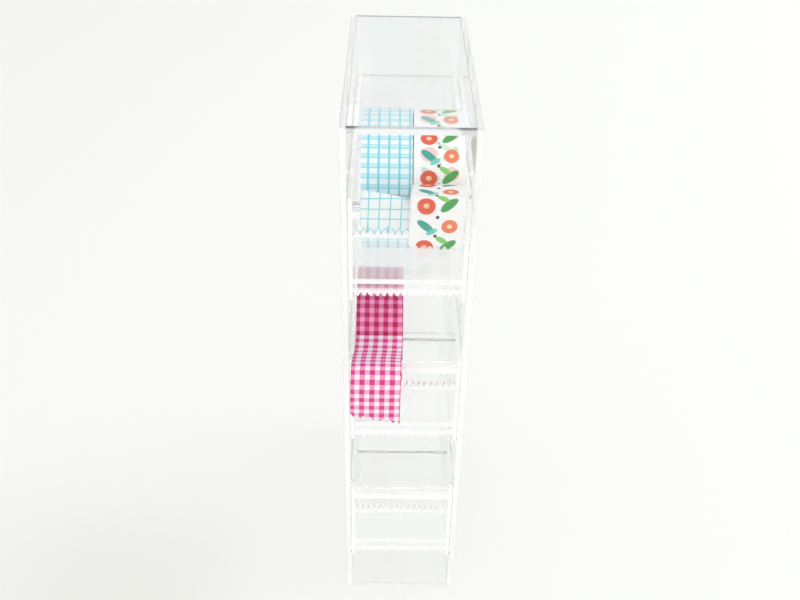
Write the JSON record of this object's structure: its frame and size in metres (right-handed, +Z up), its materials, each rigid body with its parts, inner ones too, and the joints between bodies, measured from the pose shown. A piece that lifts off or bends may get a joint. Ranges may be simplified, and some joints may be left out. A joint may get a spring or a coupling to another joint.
{
  "type": "washi tape drawer box",
  "caption": "Tall, narrow clear plastic case with pull-out trays that each hold washi tape rolls behind a toothed cutting plate and a guide bar.",
  "frame": {"origin": "middle of the flat underside of the case", "axes": "+Z up along the case's height, +Y to the back panel, +X to the right seen from the open front"},
  "size_m": [0.0394, 0.1127, 0.1873],
  "materials": {
    "clear_case": "clear moulded polystyrene sheet, glossy",
    "clear_tray": "clear moulded polystyrene, glossy",
    "cutter_plastic": "clear plastic with whitened teeth",
    "core_paper": "wound grey-white paperboard",
    "blue_grid_paper": "white rice paper with a cyan grid, slightly translucent",
    "floral_paper": "white rice paper with small printed flowers, slightly translucent",
    "pink_gingham_paper": "white rice paper with a magenta gingham check, slightly translucent"
  },
  "bodies": {
    "case": {"left_side_panel": "clear_case", "right_side_panel": "clear_case", "top_panel": "clear_case", "bottom_panel": "clear_case", "back_panel": "clear_case"},
    "top_drawer": {"top_tray": "clear_tray", "top_cutter_plate": "cutter_plastic", "top_guide_bar": "clear_tray", "blue_grid_free_end": "blue_grid_paper", "floral_free_end": "floral_paper"},
    "middle_drawer": {"middle_tray": "clear_tray", "middle_cutter_plate": "cutter_plastic", "middle_guide_bar": "clear_tray", "pink_gingham_free_end": "pink_gingham_paper"},
    "bottom_drawer": {"bottom_tray": "clear_tray", "bottom_cutter_plate": "cutter_plastic", "bottom_guide_bar": "clear_tray"},
    "blue_grid_roll": {"blue_grid_tape": "blue_grid_paper", "blue_grid_core": "core_paper"},
    "floral_roll": {"floral_tape": "floral_paper", "floral_core": "core_paper"},
    "pink_gingham_roll": {"pink_gingham_tape": "pink_gingham_paper", "pink_gingham_core": "core_paper"}
  },
  "joints": [
    {"name": "top_drawer_slide", "type": "slide", "parent": "case", "child": "top_drawer", "axis": [0, -1, 0], "range_m": [0, 0.06]},
    {"name": "middle_drawer_slide", "type": "slide", "parent": "case", "child": "middle_drawer", "axis": [0, -1, 0], "range_m": [0, 0.06]},
    {"name": "bottom_drawer_slide", "type": "slide", "parent": "case", "child": "bottom_drawer", "axis": [0, -1, 0], "range_m": [0, 0.06]},
    {"name": "blue_grid_roll_spin", "type": "hinge", "parent": "top_drawer", "child": "blue_grid_roll", "pos_m": [0, -0.02125, 0.1586], "axis": [1, 0, 0], "continuous": true},
    {"name": "floral_roll_spin", "type": "hinge", "parent": "top_drawer", "child": "floral_roll", "pos_m": [0, -0.02125, 0.1586], "axis": [1, 0, 0], "continuous": true},
    {"name": "pink_gingham_roll_spin", "type": "hinge", "parent": "middle_drawer", "child": "pink_gingham_roll", "pos_m": [0, -0.02125, 0.1021], "axis": [1, 0, 0], "continuous": true}
  ]
}
